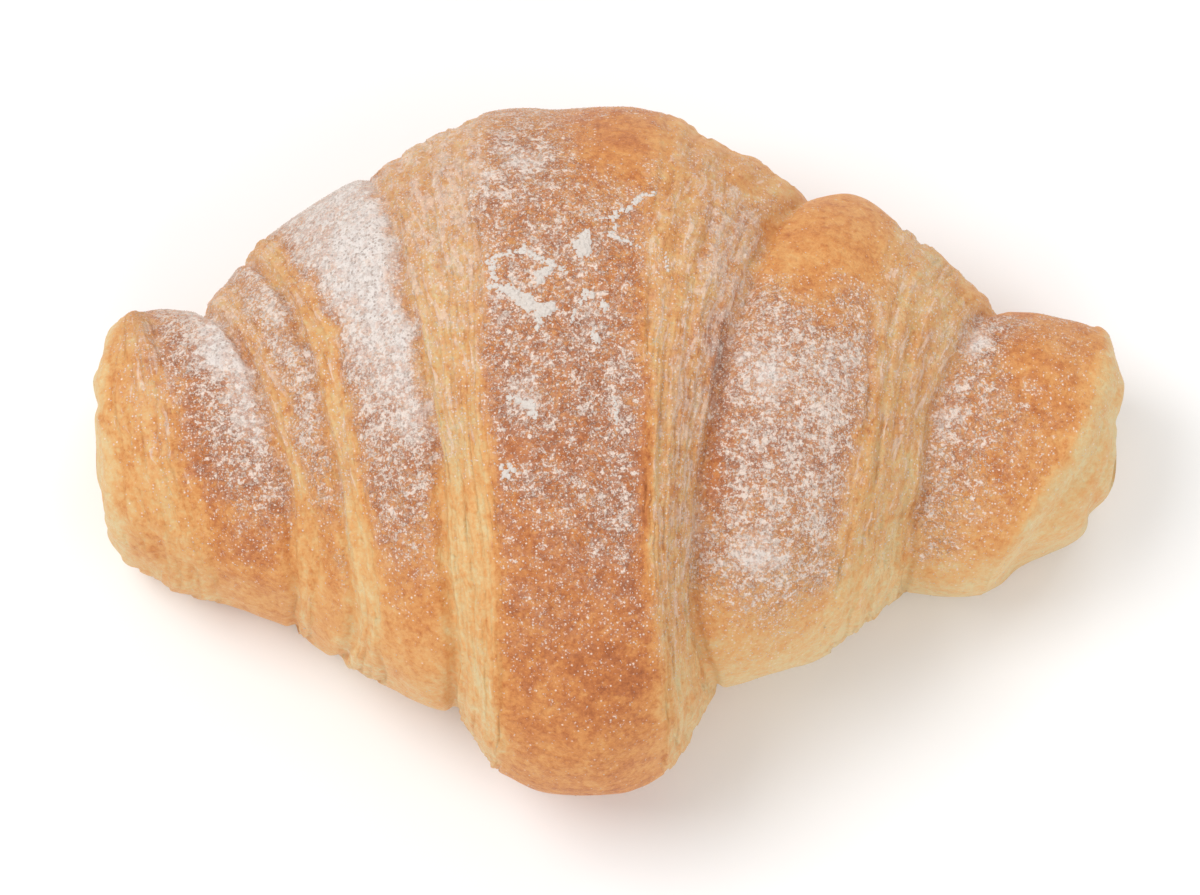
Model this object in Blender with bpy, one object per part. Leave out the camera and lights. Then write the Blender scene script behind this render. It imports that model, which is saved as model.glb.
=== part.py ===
"""A cream-filled croissant as it comes out of the oven, closed all round: one solid.

The dough was a long triangle, rolled up from its wide side. Each turn of the roll is a narrower
wrap on top of the last one, so the outside is a stair of wraps that climbs from both ends to the
middle. A wrap has a browned crown and, at each side, the cut edge of the dough, which has risen
into a slope of thin leaves. The point of the triangle is the tongue on the front of the middle.

Lengths are in millimetres until a vertex is made. X runs along the roll, the front is towards -Y,
and the flat underside rests on Z = 0. Angles round the roll are in radians: 0 is the front, a
quarter turn is the top and half a turn is the back.
"""

import math
from collections import namedtuple

import bmesh
import bpy
import numpy as np

MM = 0.001
FULL_TURN = 2 * math.pi

# Depth is the section's size from front to back. Height follows it, and thin ends are rounder.
MIDDLE_DEPTH = 90.0
MIDDLE_HEIGHT = 54.0
HEIGHT_POWER = 0.63

# The section is a squarish oval. Its widest place is below half height, and what would reach under
# the tray by SUNK is pressed flat, with a rounded edge.
WIDEST_SHARE = 0.44
SQUARENESS = 2.25
SUNK = 4.5
BASE_ROUNDING = 3.0

# An edge crosses the roll slantwise, so it has a place along X at the front, the top and the back.
# Depth is the roll's depth at that edge, and spine is how far the roll's middle lies to the back.
Edge = namedtuple("Edge", "name front top back depth spine")
EDGES = (
    Edge("left_rim", -64.8, -66.6, -65.6, 33.0, 4.1),
    Edge("left_tip_edge", -52.3, -57.0, -63.8, 38.2, 1.8),
    Edge("second_wrap_foot", -41.5, -44.8, -55.8, 43.2, -0.8),
    Edge("second_wrap_edge", -38.8, -41.6, -53.0, 47.8, 0.0),
    Edge("third_wrap_foot", -35.0, -37.2, -50.4, 53.8, -0.5),
    Edge("third_wrap_edge", -29.6, -33.4, -46.2, 60.6, -0.7),
    Edge("middle_left_foot", -19.6, -24.2, -32.0, 72.8, 1.4),
    Edge("middle_left_edge", -13.4, -15.4, -17.2, 85.0, 3.4),
    Edge("middle_right_edge", 7.8, 6.0, 8.6, 84.6, 3.4),
    Edge("middle_right_foot", 14.0, 15.2, 30.4, 66.8, 1.5),
    Edge("right_wrap_edge", 30.2, 34.6, 40.4, 57.6, 3.0),
    Edge("right_tip_foot", 40.8, 45.0, 54.0, 37.0, 2.7),
    Edge("right_tip_edge", 51.2, 64.0, 67.6, 35.4, 0.8),
    Edge("right_rim", 56.0, 67.2, 68.8, 28.0, 2.3),
)

# Between two edges lies a crown or a slope, made of so many columns of faces. Puff is how far its
# middle swells out of the straight line. A slope with leaves has one ridge and one groove for each.
Strip = namedtuple("Strip", "name columns puff leaves")
STRIPS = (
    Strip("left_flank", 6, 0.9, 3),
    Strip("left_tip", 8, 0.5, 0),
    Strip("second_wrap_slope", 4, 0.3, 2),
    Strip("second_wrap", 4, 0.5, 0),
    Strip("third_wrap_slope", 4, 0.4, 2),
    Strip("third_wrap", 6, 1.0, 0),
    Strip("middle_left_slope", 8, 0.5, 4),
    Strip("middle", 8, 1.2, 0),
    Strip("middle_right_slope", 8, 0.7, 4),
    Strip("right_wrap", 7, 1.8, 0),
    Strip("right_wrap_slope", 8, 0.9, 4),
    Strip("right_tip", 8, 0.9, 0),
    Strip("right_flank", 4, 1.3, 0),
)
LEAF_RELIEF = 0.35

# The rounded ends, each with the spiral of the roll as a groove in it. The groove starts near the
# pole and fades out as it reaches the rim at the front.
LEFT_POLE = -69.4
RIGHT_POLE = 70.1
END_COLUMNS = 10
SPIRAL_START = 0.18
SPIRAL_LAPS = 2
SPIRAL_DEPTH = 1.5
SPIRAL_WIDTH = 0.10
SPIRAL_MOUTH = math.radians(10)
SPIRAL_FADE = 0.12

# The outermost turn stands out past the inner ones, most at LOBE_AT from the end's middle, towards
# the back and up by LOBE_LEAN.
LOBE = 1.1
LOBE_AT = 9.5
LOBE_WIDTH = 4.0
LOBE_LEAN = math.radians(20)

# The tongue swells the front of the middle wrap, a little below the widest place.
TONGUE = 7.6
TONGUE_CORNERS = 0.7
TONGUE_MIDDLE = math.radians(-12)
TONGUE_SPREAD = math.radians(62)

ROWS = 56

# Hand-rolled dough is uneven: edges wander along the roll, and crowns rise and sink.
EDGE_WANDER = 0.5
CROWN_WANDER = 0.55

CRUST_COLOUR = (0.66, 0.32, 0.12, 1.0)
CRUST_ROUGHNESS = 0.55


def places_of(edge):
    """The edge's place along X at the front, the top, the back and the underside."""
    return edge.front, edge.top, edge.back, (edge.front + edge.back) / 2


def edge_x(edge, angle):
    """The edge's place along X at an angle round the roll: one smooth closed line."""
    front, top, back, under = places_of(edge)
    mean = (front + top + back + under) / 4
    first = (front - back) / 2 * np.cos(angle) + (top - under) / 2 * np.sin(angle)
    second = (front + back - top - under) / 4 * np.cos(2 * angle)
    number = EDGES.index(edge)
    wander = np.sin(3 * angle + 1.7 * number) + 0.6 * np.sin(7 * angle + 2.9 * number)
    return mean + first + second + EDGE_WANDER * wander


def height_of(depth):
    """How tall the roll stands where it is this deep."""
    return MIDDLE_HEIGHT * (depth / MIDDLE_DEPTH) ** HEIGHT_POWER


def rounded_power(value):
    """The superellipse's way of pushing a cosine or sine outwards."""
    return np.sign(value) * np.abs(value) ** (2 / SQUARENESS)


def pressed_flat(z):
    """Z with everything below the tray brought up to it, round a soft corner."""
    blend = (z + BASE_ROUNDING) ** 2 / (4 * BASE_ROUNDING)
    return np.where(z > BASE_ROUNDING, z, np.where(z < -BASE_ROUNDING, 0.0, blend))


def section_point(angle, depth, spine, scale, swell):
    """(y, z) on the section: scale shrinks it to its middle, and swell pushes it outwards."""
    height = height_of(depth)
    centre = WIDEST_SHARE * height
    up = np.sin(angle) > 0
    reach_z = np.where(up, height - centre, centre + SUNK)
    y = spine - (depth / 2) * rounded_power(np.cos(angle)) * scale - swell * np.cos(angle)
    z = centre + reach_z * rounded_power(np.sin(angle)) * scale + swell * np.sin(angle)
    return y, pressed_flat(z)


def unevenness(x, angle):
    """A slow rise and fall of the surface, from a few waves that don't repeat over the roll."""
    return (
        0.45 * np.sin(0.21 * x + 2 * angle + 0.6)
        + 0.35 * np.sin(0.37 * x - 3 * angle + 2.2)
        + 0.25 * np.sin(0.11 * x + 5 * angle + 4.1)
        + 0.20 * np.sin(0.53 * x + 7 * angle + 1.3)
    )


def tongue_share(strip_name, t):
    """How much of the tongue a strip carries: most at the middle wrap's centre line."""
    if strip_name == "middle":
        return 1 - (1 - TONGUE_CORNERS) * abs(2 * t - 1) ** 3
    rise = {"middle_left_slope": t, "middle_right_slope": 1 - t}.get(strip_name, 0)
    return TONGUE_CORNERS * rise * rise * (3 - 2 * rise)


def tongue_swell(angle):
    """The tongue's thickness round the roll, fading to nothing at TONGUE_SPREAD from its middle."""
    off = (angle - TONGUE_MIDDLE + math.pi) % FULL_TURN - math.pi
    inside = np.clip(np.abs(off) / TONGUE_SPREAD, 0, 1)
    return TONGUE * (1 + np.cos(math.pi * inside)) / 2


def leaf_relief(strip, t, angle):
    """The baked leaves on a slope: ridges and grooves along it, uneven round the roll."""
    across = -math.cos(FULL_TURN * strip.leaves * t) if strip.leaves else 0
    unevenly = 0.75 + 0.25 * np.sin(5 * angle + 6 * strip.leaves + 9 * t)
    return LEAF_RELIEF * across * math.sin(math.pi * t) ** 0.5 * unevenly


def spiral_groove(radius, angle):
    """The groove's depth on an end, where radius runs from 0 at the pole to 1 at the rim."""
    turned = ((angle - SPIRAL_MOUTH) % FULL_TURN) / FULL_TURN
    pitch = (1 - SPIRAL_START) / SPIRAL_LAPS
    depth = 0
    for lap in range(SPIRAL_LAPS):
        middle = SPIRAL_START + pitch * (turned + lap)
        depth = depth + np.exp(-(((radius - middle) / SPIRAL_WIDTH) ** 2))
    return SPIRAL_DEPTH * depth * min(1, radius / SPIRAL_START, (1 - radius) / SPIRAL_FADE)


def end_lobe(rim, y, z):
    """How far the outermost turn stands out of an end."""
    above = z - WIDEST_SHARE * height_of(rim.depth)
    aside = (y - rim.spine) * math.cos(LOBE_LEAN) + above * math.sin(LOBE_LEAN)
    return LOBE * np.exp(-(((aside - LOBE_AT) / LOBE_WIDTH) ** 2))


def wrap_loop(strip_number, t, angle):
    """The loop of points round the roll at share t of the way across a strip."""
    strip = STRIPS[strip_number]
    before, after = EDGES[strip_number], EDGES[strip_number + 1]
    x = (1 - t) * edge_x(before, angle) + t * edge_x(after, angle)
    puff = strip.puff * math.sin(math.pi * t) ** 0.8
    depth = (1 - t) * before.depth + t * after.depth + 2 * puff
    spine = (1 - t) * before.spine + t * after.spine
    swell = tongue_share(strip.name, t) * tongue_swell(angle)
    swell = swell + CROWN_WANDER * unevenness(x, angle) + leaf_relief(strip, t, angle)
    y, z = section_point(angle, depth, spine, 1.0, swell)
    return np.stack([x, y, z], axis=1)


def end_loop(rim, pole, t, angle):
    """A loop on a rounded end, at share t of the way from its rim to its pole."""
    radius = math.cos(t * math.pi / 2)
    bulge = math.sin(t * math.pi / 2)
    rim_x = edge_x(rim, angle)
    swell = CROWN_WANDER * unevenness(rim_x, angle) * radius
    y, z = section_point(angle, rim.depth, rim.spine, radius, swell)
    relief = end_lobe(rim, y, z) * bulge - spiral_groove(radius, angle)
    x = rim_x + (pole - rim_x) * bulge + math.copysign(1, pole) * relief
    return np.stack([x, y, z], axis=1)


def all_loops(rows):
    """Every loop from the left end to the right, without the two poles."""
    angle = np.linspace(0, FULL_TURN, rows, endpoint=False)
    end_steps = [n / END_COLUMNS for n in range(1, END_COLUMNS)]
    loops = [end_loop(EDGES[0], LEFT_POLE, t, angle) for t in reversed(end_steps)]
    for number, strip in enumerate(STRIPS):
        loops += [wrap_loop(number, n / strip.columns, angle) for n in range(strip.columns)]
    loops.append(wrap_loop(len(STRIPS) - 1, 1.0, angle))
    loops += [end_loop(EDGES[-1], RIGHT_POLE, t, angle) for t in end_steps]
    return loops


def pole_point(rim, pole):
    """The middle of a rounded end."""
    return pole, rim.spine, WIDEST_SHARE * height_of(rim.depth)


def browned_crust():
    """The crust's plain finish."""
    material = bpy.data.materials.new("browned_crust")
    material.use_nodes = True
    shader = material.node_tree.nodes["Principled BSDF"]
    shader.inputs["Base Color"].default_value = CRUST_COLOUR
    shader.inputs["Roughness"].default_value = CRUST_ROUGHNESS
    return material


def rolled_dough():
    """The croissant's mesh: a skin through all the loops, closed at both poles."""
    shape = bmesh.new()
    rings = [[shape.verts.new(point * MM) for point in loop] for loop in all_loops(ROWS)]
    for ring, following in zip(rings, rings[1:]):
        for n in range(ROWS):
            after = (n + 1) % ROWS
            shape.faces.new((ring[n], following[n], following[after], ring[after]))
    ends = ((rings[0], EDGES[0], LEFT_POLE), (rings[-1], EDGES[-1], RIGHT_POLE))
    for ring, rim, pole in ends:
        tip = shape.verts.new([length * MM for length in pole_point(rim, pole)])
        for n in range(ROWS):
            shape.faces.new((ring[n], ring[(n + 1) % ROWS], tip))
    bmesh.ops.recalc_face_normals(shape, faces=shape.faces)
    mesh = bpy.data.meshes.new("croissant")
    shape.to_mesh(mesh)
    shape.free()
    return mesh


def main():
    for leftover in list(bpy.data.objects):
        bpy.data.objects.remove(leftover)
    mesh = rolled_dough()
    mesh.materials.append(browned_crust())
    mesh.shade_smooth()
    croissant = bpy.data.objects.new("croissant", mesh)
    bpy.context.scene.collection.objects.link(croissant)


if __name__ == "__main__":
    main()
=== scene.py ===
import math
from collections import namedtuple

import bpy
import numpy as np
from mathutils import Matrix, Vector, noise


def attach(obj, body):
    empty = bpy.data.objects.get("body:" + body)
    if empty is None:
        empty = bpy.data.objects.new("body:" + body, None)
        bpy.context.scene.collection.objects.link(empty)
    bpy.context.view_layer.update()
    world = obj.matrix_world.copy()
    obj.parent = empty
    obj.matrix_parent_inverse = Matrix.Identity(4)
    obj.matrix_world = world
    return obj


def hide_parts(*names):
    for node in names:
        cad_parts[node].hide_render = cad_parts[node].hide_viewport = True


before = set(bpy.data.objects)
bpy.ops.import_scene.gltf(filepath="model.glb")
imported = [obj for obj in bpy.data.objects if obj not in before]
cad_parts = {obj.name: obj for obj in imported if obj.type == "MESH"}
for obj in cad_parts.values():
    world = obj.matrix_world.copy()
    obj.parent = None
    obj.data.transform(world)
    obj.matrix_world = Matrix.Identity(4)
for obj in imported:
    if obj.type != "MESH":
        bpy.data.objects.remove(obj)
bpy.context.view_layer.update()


# The crust
# One long triangle of buttered, folded dough, rolled up from its wide side, egg-washed and baked.
# Each turn is a wrap with a browned crown, and at both sides of it the cut edges of the dough have
# opened into slopes of thin leaves.

# Lengths are in millimetres, and angles round the roll run from the front, 0, over the top to the
# back, half a turn.
MM = 0.001
FULL_TURN = 2 * math.pi

# Each edge between two strips: where it crosses the front, the top and the back, how deep the roll
# is there, and how far its middle lies to the back.
Edge = namedtuple("Edge", "name front top back depth spine")
EDGES = (
    Edge("left_rim", -64.8, -66.6, -65.6, 33.0, 4.1),
    Edge("left_tip_edge", -52.3, -57.0, -63.8, 38.2, 1.8),
    Edge("second_wrap_foot", -41.5, -44.8, -55.8, 43.2, -0.8),
    Edge("second_wrap_edge", -38.8, -41.6, -53.0, 47.8, 0.0),
    Edge("third_wrap_foot", -35.0, -37.2, -50.4, 53.8, -0.5),
    Edge("third_wrap_edge", -29.6, -33.4, -46.2, 60.6, -0.7),
    Edge("middle_left_foot", -19.6, -24.2, -32.0, 72.8, 1.4),
    Edge("middle_left_edge", -13.4, -15.4, -17.2, 85.0, 3.4),
    Edge("middle_right_edge", 7.8, 6.0, 8.6, 84.6, 3.4),
    Edge("middle_right_foot", 14.0, 15.2, 30.4, 66.8, 1.5),
    Edge("right_wrap_edge", 30.2, 34.6, 40.4, 57.6, 3.0),
    Edge("right_tip_foot", 40.8, 45.0, 54.0, 37.0, 2.7),
    Edge("right_tip_edge", 51.2, 64.0, 67.6, 35.4, 0.8),
    Edge("right_rim", 56.0, 67.2, 68.8, 28.0, 2.3),
)

# Between two edges lies a crown or a slope, of so many columns of the mesh, that puffs up so far.
# Leaves are the wide ridges of a slope and layers the fine ones. Bake is the browning low on the
# front, higher on the front, on the top and towards the back, from 0 for raw-looking dough to 1
# for dark brown. Sugar starts at one angle, is full at the next and ends at the third, so densely,
# and leans to the strip's left (-1) or right (1).
Strip = namedtuple("Strip", "name columns puff leaves layers bake sugar")
STRIPS = (
    Strip("left_flank", 44, 0.9, 3, 9, (0.36, 0.46, 0.52, 0.50), (20, 120, 165, 0.26, 0.8)),
    Strip("left_tip", 46, 0.5, 0, 0, (0.54, 0.76, 0.84, 0.70), (8, 102, 185, 0.62, 0.48)),
    Strip("second_wrap_slope", 24, 0.3, 2, 4, (0.38, 0.42, 0.42, 0.46), (35, 115, 180, 0.42, 0)),
    Strip("second_wrap", 24, 0.5, 0, 0, (0.42, 0.62, 0.70, 0.64), (16, 108, 180, 0.66, 0.1)),
    Strip("third_wrap_slope", 28, 0.4, 2, 5, (0.28, 0.26, 0.34, 0.46), (50, 130, 180, 0.30, 0)),
    Strip("third_wrap", 36, 1.0, 0, 0, (0.42, 0.62, 0.80, 0.72), (20, 106, 185, 0.84, 0.1)),
    Strip("middle_left_slope", 60, 0.5, 4, 11, (0.30, 0.28, 0.32, 0.42), (60, 118, 175, 0.46, 0)),
    Strip("middle", 64, 1.2, 0, 0, (0.68, 0.84, 0.90, 0.72), (0, 80, 165, 0.39, -0.1)),
    Strip("middle_right_slope", 72, 0.7, 4, 12, (0.26, 0.36, 0.44, 0.48), (0, 60, 150, 0.42, 0.3)),
    Strip("right_wrap", 58, 1.8, 0, 0, (0.08, 0.48, 0.80, 0.60), (-4, 60, 107, 0.62, 0)),
    Strip("right_wrap_slope", 64, 0.9, 4, 12, (0.12, 0.24, 0.42, 0.40), (10, 80, 160, 0.32, 0.1)),
    Strip("right_tip", 56, 0.9, 0, 0, (0.14, 0.48, 0.68, 0.70), (-10, 60, 150, 0.34, -0.80)),
    Strip("right_flank", 20, 1.3, 0, 0, (0.20, 0.19, 0.16, 0.22), (50, 90, 160, 0.06, 0)),
)
BAKE_ANGLES = (-10, 30, 75, 120)


def near(distance, width):
    """1 at no distance, falling to 0 over about this width."""
    return np.exp(-((distance / width) ** 2))


def soft_step(value, start, end):
    """0 at the start and before it, 1 at the end and beyond it, with a smooth rise between."""
    share = np.clip((value - start) / (end - start), 0, 1)
    return share * share * (3 - 2 * share)


def lumpy(points, kinds, base=0, number=1):
    """The base with smooth lumps of each kind added to it. A kind is its height, its size or its
    sizes in X, Y and Z, and a shift, times the number, that makes it unlike the others."""
    for height, size, shift in kinds:
        scaled = ((points + shift * number) / np.asarray(size, float)).reshape(-1, 3).tolist()
        lumps = np.array([noise.noise(point) for point in scaled]).reshape(points.shape[:-1])
        base = base + height * lumps
    return base


# An edge wanders in waves: so many round the roll, shifted so far from one edge to the next, and
# so high. It frays in lumps.
EDGE_WANDER = 0.5
EDGE_WAVES = ((3, 1.7, 1.0), (7, 2.9, 0.6))
EDGE_FRAY = 0.22
FRAY_LUMPS = ((1.0, 3.0, 0), (0.6, 1.4, 0))
FRAY_SHIFT = 9.7


def edge_x(edge, angle):
    """The edge's place along X at an angle round the roll: one smooth closed line, a bit frayed."""
    under = (edge.front + edge.back) / 2
    mean = (edge.front + edge.top + edge.back + under) / 4
    first = (edge.front - edge.back) / 2 * np.cos(angle) + (edge.top - under) / 2 * np.sin(angle)
    second = (edge.front + edge.back - edge.top - under) / 4 * np.cos(2 * angle)
    number = EDGES.index(edge)
    wander = sum(
        height * np.sin(waves * angle + shift * number) for waves, shift, height in EDGE_WAVES
    )
    shifted = 0 * angle + FRAY_SHIFT * number
    line = np.stack([shifted, np.cos(angle), np.sin(angle)], axis=-1) * edge.depth / 2
    return mean + first + second + EDGE_WANDER * wander + EDGE_FRAY * lumpy(line, FRAY_LUMPS)


# The roll's section is a squarish round, wider than tall and widest a little below its middle,
# that is sunk into the tray and pressed flat by it.
MIDDLE_DEPTH = 90.0
MIDDLE_HEIGHT = 54.0
HEIGHT_POWER = 0.63
WIDEST_SHARE = 0.44
SQUARENESS = 2.25
SUNK = 4.5
BASE_ROUNDING = 3.0


def height_of(depth):
    """How tall the roll stands where it is this deep."""
    return MIDDLE_HEIGHT * (depth / MIDDLE_DEPTH) ** HEIGHT_POWER


def rounded_power(value):
    """The superellipse's way of pushing a cosine or sine outwards."""
    return np.sign(value) * np.abs(value) ** (2 / SQUARENESS)


def section_point(angle, depth, spine, scale, swell):
    """(y, z) on the section, with what would reach under the tray pressed flat."""
    height = height_of(depth)
    centre = WIDEST_SHARE * height
    reach_z = np.where(np.sin(angle) > 0, height - centre, centre + SUNK)
    y = spine - (depth / 2) * rounded_power(np.cos(angle)) * scale - swell * np.cos(angle)
    z = centre + reach_z * rounded_power(np.sin(angle)) * scale + swell * np.sin(angle)
    blend = (z + BASE_ROUNDING) ** 2 / (4 * BASE_ROUNDING)
    return y, np.where(z > BASE_ROUNDING, z, np.where(z < -BASE_ROUNDING, 0.0, blend))


# The surface rises and falls in waves: their height, how far they turn in a millimetre along the
# roll, how many there are round it, and where they start.
CROWN_WANDER = 0.55
SLOW_WAVES = (
    (0.45, 0.21, 2, 0.6),
    (0.35, 0.37, -3, 2.2),
    (0.25, 0.11, 5, 4.1),
    (0.20, 0.53, 7, 1.3),
)


def unevenness(x, angle):
    """A slow rise and fall of the surface, from a few waves that don't repeat over the roll."""
    return sum(
        height * np.sin(along * x + often * angle + start)
        for height, along, often, start in SLOW_WAVES
    )


# The tongue is the rounded end of the dough, which swells the middle wrap at the front, and less
# so at the wrap's own edges.
TONGUE = 7.6
TONGUE_CORNERS = 0.7
TONGUE_MIDDLE = math.radians(-12)
TONGUE_SPREAD = math.radians(62)


def tongue_share(strip_name, t):
    """How much of the tongue a strip carries: most at the middle wrap's centre line."""
    if strip_name == "middle":
        return 1 - (1 - TONGUE_CORNERS) * np.abs(2 * t - 1) ** 3
    rise = {"middle_left_slope": t, "middle_right_slope": 1 - t}.get(strip_name, 0 * t)
    return TONGUE_CORNERS * rise * rise * (3 - 2 * rise)


def tongue_swell(angle):
    """The tongue's thickness round the roll, fading to nothing at TONGUE_SPREAD from its middle."""
    off = (angle - TONGUE_MIDDLE + math.pi) % FULL_TURN - math.pi
    inside = np.clip(np.abs(off) / TONGUE_SPREAD, 0, 1)
    return TONGUE * (1 + np.cos(math.pi * inside)) / 2


# A strip bulges between its edges, and a slope's leaves stand up unevenly, in waves round the roll
# that lean across it.
BULGE_POWER = 0.8
LEAF_RELIEF = 0.35
LEAF_FADE_POWER = 0.5
LEAF_UNEVENNESS = 0.25
LEAF_WAVES = 5
LEAF_WAVE_LEAN = 9
LEAF_WAVE_SHIFT = 6


def strip_form(number, t, angle):
    """The points of a strip, across it and round the roll, as the solid has them."""
    strip = STRIPS[number]
    before = EDGES[number]
    after = EDGES[number + 1]
    x = (1 - t) * edge_x(before, angle) + t * edge_x(after, angle)
    bulge = np.sin(math.pi * t)
    depth = (1 - t) * before.depth + t * after.depth + 2 * strip.puff * bulge**BULGE_POWER
    spine = (1 - t) * before.spine + t * after.spine
    swell = tongue_share(strip.name, t) * tongue_swell(angle) + CROWN_WANDER * unevenness(x, angle)
    if strip.leaves:
        waves = np.sin(LEAF_WAVES * angle + LEAF_WAVE_SHIFT * strip.leaves + LEAF_WAVE_LEAN * t)
        unevenly = 1 - LEAF_UNEVENNESS + LEAF_UNEVENNESS * waves
        furrows = LEAF_RELIEF * np.cos(FULL_TURN * strip.leaves * t)
        swell = swell - furrows * bulge**LEAF_FADE_POWER * unevenly
    y, z = section_point(angle, depth, spine, 1.0, swell)
    return np.stack(np.broadcast_arrays(x, y, z), axis=-1)


# Each end is a rounded cap with the spiral of the roll in it: a groove with a crack down its
# middle, between leaves. Its outermost turn stands out as a lobe, beyond a seam. The widths in the
# spiral are shares of the cap's radius.
LEFT_POLE = -69.4
RIGHT_POLE = 70.1
SPIRAL_START = 0.18
SPIRAL_LAPS = 2
SPIRAL_DEPTH = 1.5
SPIRAL_WIDTH = 0.10
SPIRAL_MOUTH = math.radians(10)
SPIRAL_FADE = 0.12
SPIRAL_CRACK = 0.035
SPIRAL_CRACK_DEPTH = 1.0
END_LEAVES = 4
END_LEAF_RELIEF = 0.16
LOBE = 1.1
LOBE_AT = 9.5
LOBE_WIDTH = 4.0
LOBE_LEAN = math.radians(20)
SEAM_AT = 5.2
SEAM_WIDTH = 0.8
SEAM_DEPTH = 0.9
SEAM_FADE = 6.0

# How much browner a leaf in the spiral is, and how much paler a crack, a groove and the seam.
LEAF_BROWNER = 0.14
CRACK_PALER = 0.12
GROOVE_PALER = 0.10
SEAM_PALER = 0.10


def end_form(rim, pole, t, angle):
    """The points of an end, from its rim to its pole, and how much browner it is at each."""
    radius = np.cos(t * math.pi / 2)
    bulge = np.sin(t * math.pi / 2)
    rim_x = edge_x(rim, angle)
    swell = CROWN_WANDER * unevenness(rim_x, angle) * radius
    y, z = section_point(angle, rim.depth, rim.spine, radius, swell)
    turned = ((angle - SPIRAL_MOUTH) % FULL_TURN) / FULL_TURN
    pitch = (1 - SPIRAL_START) / SPIRAL_LAPS
    groove = 0
    crack = 0
    for lap in range(SPIRAL_LAPS):
        off = radius - SPIRAL_START - pitch * (turned + lap)
        groove = groove + near(off, SPIRAL_WIDTH)
        crack = crack + near(off, SPIRAL_CRACK)
    inside = np.minimum(1, np.minimum(radius / SPIRAL_START, (1 - radius) / SPIRAL_FADE))
    leafy = np.sin(FULL_TURN * END_LEAVES * (radius / pitch - turned))
    above = z - WIDEST_SHARE * height_of(rim.depth)
    aside = (y - rim.spine) * math.cos(LOBE_LEAN) + above * math.sin(LOBE_LEAN)
    seam = near(aside - SEAM_AT, SEAM_WIDTH) * soft_step(above, -SEAM_FADE, 0)
    raised = (LOBE * near(aside - LOBE_AT, LOBE_WIDTH) - SEAM_DEPTH * seam) * bulge
    sunk = (SPIRAL_DEPTH * groove + SPIRAL_CRACK_DEPTH * crack + END_LEAF_RELIEF * leafy) * inside
    x = rim_x + (pole - rim_x) * bulge + math.copysign(1, pole) * (raised - sunk)
    spiral = LEAF_BROWNER * leafy - CRACK_PALER * crack - GROOVE_PALER * groove
    return np.stack(np.broadcast_arrays(x, y, z), axis=-1), spiral * inside - SEAM_PALER * seam


# The rows of the mesh start and end under the roll, and lie closer together over its top.
ROWS = 142
TOP_CROWDING = math.radians(20)
turns = np.linspace(0, 1, ROWS + 1)
around = FULL_TURN * (turns - 0.25) + TOP_CROWDING * np.sin(FULL_TURN * turns)
degrees = np.degrees(around)
parts = {name: [] for name in ("form", "relief", "bake", "sugar", "tone", "slope")}


def add_columns(**fields):
    """Adds the columns of an end or a strip to each field."""
    for name, field in fields.items():
        parts[name].append(field)


# An end's lumps stand in full over the first share of the way from its rim to its pole, and the
# browning of its rim has faded out by the second share.
END_COLUMNS = 44
END_LUMPS = ((0.25, 5.0, 0),)
END_LUMPS_FULL = 0.6
END_BAKE = 0.18
END_MOTTLING = ((0.12, 6.0, 77),)
LEFT_RIM_BAKE = 0.18
RIGHT_RIM_BAKE = 0.25
RIM_BAKE_GONE = 0.5


def add_end(rim, pole, steps, rim_bake):
    """Adds an end: golden dough with its spiral, browned towards the rim, and no sugar."""
    points, browner = end_form(rim, pole, steps, around[None])
    mottled = lumpy(points, END_MOTTLING, browner + END_BAKE)
    flat = 0 * mottled
    add_columns(
        form=points,
        relief=lumpy(points, END_LUMPS) * soft_step(steps, 1.0, END_LUMPS_FULL),
        bake=mottled + (rim_bake - END_BAKE) * soft_step(steps, RIM_BAKE_GONE, 0.0),
        sugar=flat,
        tone=flat,
        slope=flat,
    )


# The layers of a slope drift across it, so many of them far, and each has its own tone and its own
# tears, which open between these values of their lumps. A slope narrower than the first room has
# no layers, and one wider than the second has them in full.
LAYER_DRIFT = ((1.1, (6, 18, 18), 31), (0.4, (2.5, 5, 5), 57))
LAYER_TONES = ((1.6, (1, 11, 11), 0), (0.6, (1, 3, 3), 40))
LAYER_TEARS = ((1.0, (1, 5, 5), 80),)
LAYER_TORN = (-0.15, 0.35)
LAYER_SHIFT = 7.31
STRIP_SHIFT = 3.7
LAYER_STEP = 0.24
LAYER_STEP_UNTORN = 0.4
LAYER_HEIGHTS = 0.24
LAYER_CRACK = 0.10
LAYER_CRACK_WIDTH = 0.22
LAYER_ROOM = (1, 7)


def open_layers(number, t, points):
    """How far a slope's layers stand up, and each layer's tone."""
    phase = STRIPS[number].layers * t + lumpy(points, LAYER_DRIFT, 0, number)
    layer = np.floor(phase)
    through = phase - layer
    apart = LAYER_SHIFT * layer + STRIP_SHIFT * number
    along = np.stack([apart, points[..., 1], points[..., 2]], axis=-1)
    tones = lumpy(along, LAYER_TONES)
    torn = soft_step(lumpy(along, LAYER_TEARS), *LAYER_TORN)
    steps = LAYER_STEP * (0.5 - through) * (LAYER_STEP_UNTORN + torn) + LAYER_HEIGHTS * tones
    to_edge = np.minimum(through, 1 - through)
    return steps - LAYER_CRACK * torn * near(to_edge, LAYER_CRACK_WIDTH), tones


# The finer relief of the strips: lumps, a crease at the foot of each wrap and a lip along each
# crown's edge. It grows to its full height over these shares of the first and the last strip.
CROWN_LUMPS = ((0.40, 9.0, 13), (0.14, 3.6, 13))
SLOPE_LUMPS = ((0.40, 7.0, 13), (0.14, 2.4, 13))
CREASE_DEPTH = 0.8
CREASE_WIDTH = 0.9
LIP_HEIGHT = 0.12
LIP_WIDTH = 0.9
FIRST_STRIP_FULL = 0.15
LAST_STRIP_FULL = 0.5

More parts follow.
